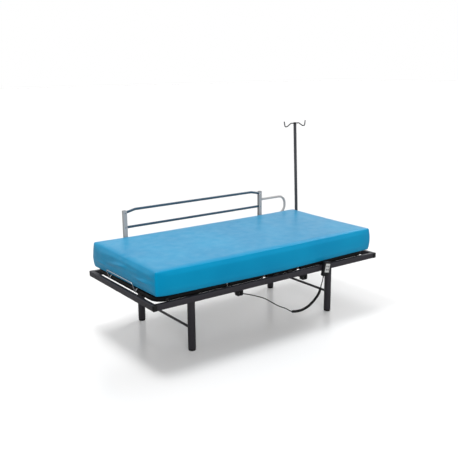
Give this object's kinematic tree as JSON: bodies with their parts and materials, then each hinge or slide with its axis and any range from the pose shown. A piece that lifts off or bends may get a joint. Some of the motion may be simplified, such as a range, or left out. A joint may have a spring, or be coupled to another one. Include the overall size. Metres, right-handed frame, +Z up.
{
  "type": "geriatric bed",
  "caption": "Electric care bed: steel frame on round legs, slatted lying surface that bends at back, thigh and knee, foam mattress, folding side rail, drip stand and wired hand control.",
  "frame": {"origin": "floor level, at the middle of the bed's overall length and width", "axes": "+X along the bed towards the head, +Y across it towards the side rail, +Z up"},
  "size_m": [2.1009, 1.0072, 1.4119],
  "materials": {
    "anthracite_paint": "satin",
    "dark_leg_paint": "satin",
    "black_paint": "satin",
    "black_plastic": "matte",
    "slat_wood": "satin",
    "chrome_wire": "polished",
    "gear_steel": "satin",
    "rail_grey": "satin",
    "bar_slate": "satin",
    "stand_grey": "satin",
    "keypad_grey": "matte",
    "button_dark": "matte",
    "mattress_blue": "satin"
  },
  "bodies": {
    "base": {"bearing_back_far": "black_plastic", "bearing_back_near": "black_plastic", "bearing_leg_far": "black_plastic", "bearing_leg_near": "black_plastic", "crossmember_foot": "anthracite_paint", "crossmember_head": "anthracite_paint", "drive_housing": "black_plastic", "end_cap_foot_far": "black_plastic", "end_cap_foot_near": "black_plastic", "end_cap_head_far": "black_plastic", "end_cap_head_near": "black_plastic", "foot_rail": "anthracite_paint", "handset_body": "black_plastic", "handset_cord": "black_plastic", "handset_keypad": "keypad_grey", "head_rail": "anthracite_paint", "iv_socket": "anthracite_paint", "leg_foot_far": "dark_leg_paint", "leg_foot_near": "dark_leg_paint", "leg_head_far": "dark_leg_paint", "leg_head_near": "dark_leg_paint", "mattress_seat": "mattress_blue", "rail_bracket_foot": "rail_grey", "rail_bracket_head": "rail_grey", "seat_frame": "black_paint", "side_rail_far": "anthracite_paint", "side_rail_near": "anthracite_paint", "slat_seat_1": "slat_wood", "slat_seat_2": "slat_wood", "tie_bar_foot": "dark_leg_paint", "tie_bar_head": "dark_leg_paint"},
    "back": {"back_frame": "black_paint", "mattress_back": "mattress_blue", "slat_back_1": "slat_wood", "slat_back_2": "slat_wood", "slat_back_3": "slat_wood", "slat_back_4": "slat_wood", "slat_back_5": "slat_wood"},
    "thigh": {"thigh_frame": "black_paint", "mattress_thigh": "mattress_blue", "slat_thigh_1": "slat_wood", "slat_thigh_2": "slat_wood"},
    "calf": {"calf_frame": "black_paint", "mattress_calf": "mattress_blue", "mattress_retainer": "chrome_wire", "slat_calf_1": "slat_wood", "slat_calf_2": "slat_wood", "slat_calf_3": "slat_wood"},
    "leg_shaft": {"leg_lift_shaft": "gear_steel"},
    "back_shaft": {"back_lift_shaft": "gear_steel"},
    "rail_foot": {"rail_upright_foot": "rail_grey"},
    "rail_head": {"rail_upright_head": "rail_grey"},
    "rail_top": {"rail_top_bar": "bar_slate"},
    "rail_lower": {"rail_lower_bar": "bar_slate"},
    "drip_stand": {"iv_pole": "stand_grey", "iv_hook": "stand_grey"},
    "key_back_up": {"button_back_up": "button_dark"},
    "key_back_down": {"button_back_down": "button_dark"},
    "key_legs_up": {"button_legs_up": "button_dark"},
    "key_legs_down": {"button_legs_down": "button_dark"}
  },
  "joints": [
    {"name": "back_lift", "type": "hinge", "parent": "base", "child": "back", "pos_m": [0.1843, -0.0028, 0.445], "axis": [0, -1, 0], "range_deg": [0, 70], "deforming": ["mattress_back", "mattress_seat"]},
    {"name": "thigh_lift", "type": "hinge", "parent": "base", "child": "thigh", "pos_m": [-0.1327, -0.0028, 0.445], "axis": [0, 1, 0], "range_deg": [0, 35], "deforming": ["mattress_thigh", "mattress_seat"]},
    {"name": "knee_bend", "type": "hinge", "parent": "thigh", "child": "calf", "pos_m": [-0.4547, -0.0028, 0.445], "axis": [0, -1, 0], "range_deg": [0, 57.5], "deforming": ["mattress_calf", "mattress_thigh"]},
    {"name": "leg_shaft_turn", "type": "hinge", "parent": "base", "child": "leg_shaft", "pos_m": [-0.3717, -0.0028, 0.37], "axis": [0, 1, 0], "range_deg": [0, 26]},
    {"name": "back_shaft_turn", "type": "hinge", "parent": "base", "child": "back_shaft", "pos_m": [0.2183, -0.0028, 0.37], "axis": [0, -1, 0], "range_deg": [0, 65.8]},
    {"name": "rail_fold", "type": "hinge", "parent": "base", "child": "rail_foot", "pos_m": [-0.7347, 0.4878, 0.408], "axis": [0, 1, 0], "range_deg": [0, 78]},
    {"name": "rail_fold_head", "type": "hinge", "parent": "base", "child": "rail_head", "pos_m": [0.5573, 0.4878, 0.408], "axis": [0, 1, 0], "range_deg": [0, 78]},
    {"name": "top_bar_pivot", "type": "hinge", "parent": "rail_foot", "child": "rail_top", "pos_m": [-0.7347, 0.4878, 0.815], "axis": [0, 1, 0], "range_deg": [-78, 0]},
    {"name": "lower_bar_pivot", "type": "hinge", "parent": "rail_foot", "child": "rail_lower", "pos_m": [-0.7347, 0.4878, 0.704], "axis": [0, 1, 0], "range_deg": [-78, 0]},
    {"name": "stand_swivel", "type": "hinge", "parent": "base", "child": "drip_stand", "pos_m": [0.9272, 0.42159, 0.428], "axis": [0, 0.0454, 0.999], "continuous": true},
    {"name": "press_back_up", "type": "slide", "parent": "base", "child": "key_back_up", "axis": [0, 1, 0], "range_m": [0, 0.001], "stiffness_N_per_m": 800},
    {"name": "press_back_down", "type": "slide", "parent": "base", "child": "key_back_down", "axis": [0, 1, 0], "range_m": [0, 0.001], "stiffness_N_per_m": 800},
    {"name": "press_legs_up", "type": "slide", "parent": "base", "child": "key_legs_up", "axis": [0, 1, 0], "range_m": [0, 0.001], "stiffness_N_per_m": 800},
    {"name": "press_legs_down", "type": "slide", "parent": "base", "child": "key_legs_down", "axis": [0, 1, 0], "range_m": [0, 0.001], "stiffness_N_per_m": 800}
  ],
  "couplings": [
    {"joint": "knee_bend", "follows": "thigh_lift", "ratio": 1.64},
    {"joint": "leg_shaft_turn", "follows": "thigh_lift", "ratio": 0.742},
    {"joint": "back_shaft_turn", "follows": "back_lift", "ratio": 0.94},
    {"joint": "rail_fold_head", "follows": "rail_fold", "ratio": 1},
    {"joint": "top_bar_pivot", "follows": "rail_fold", "ratio": -1},
    {"joint": "lower_bar_pivot", "follows": "rail_fold", "ratio": -1}
  ]
}
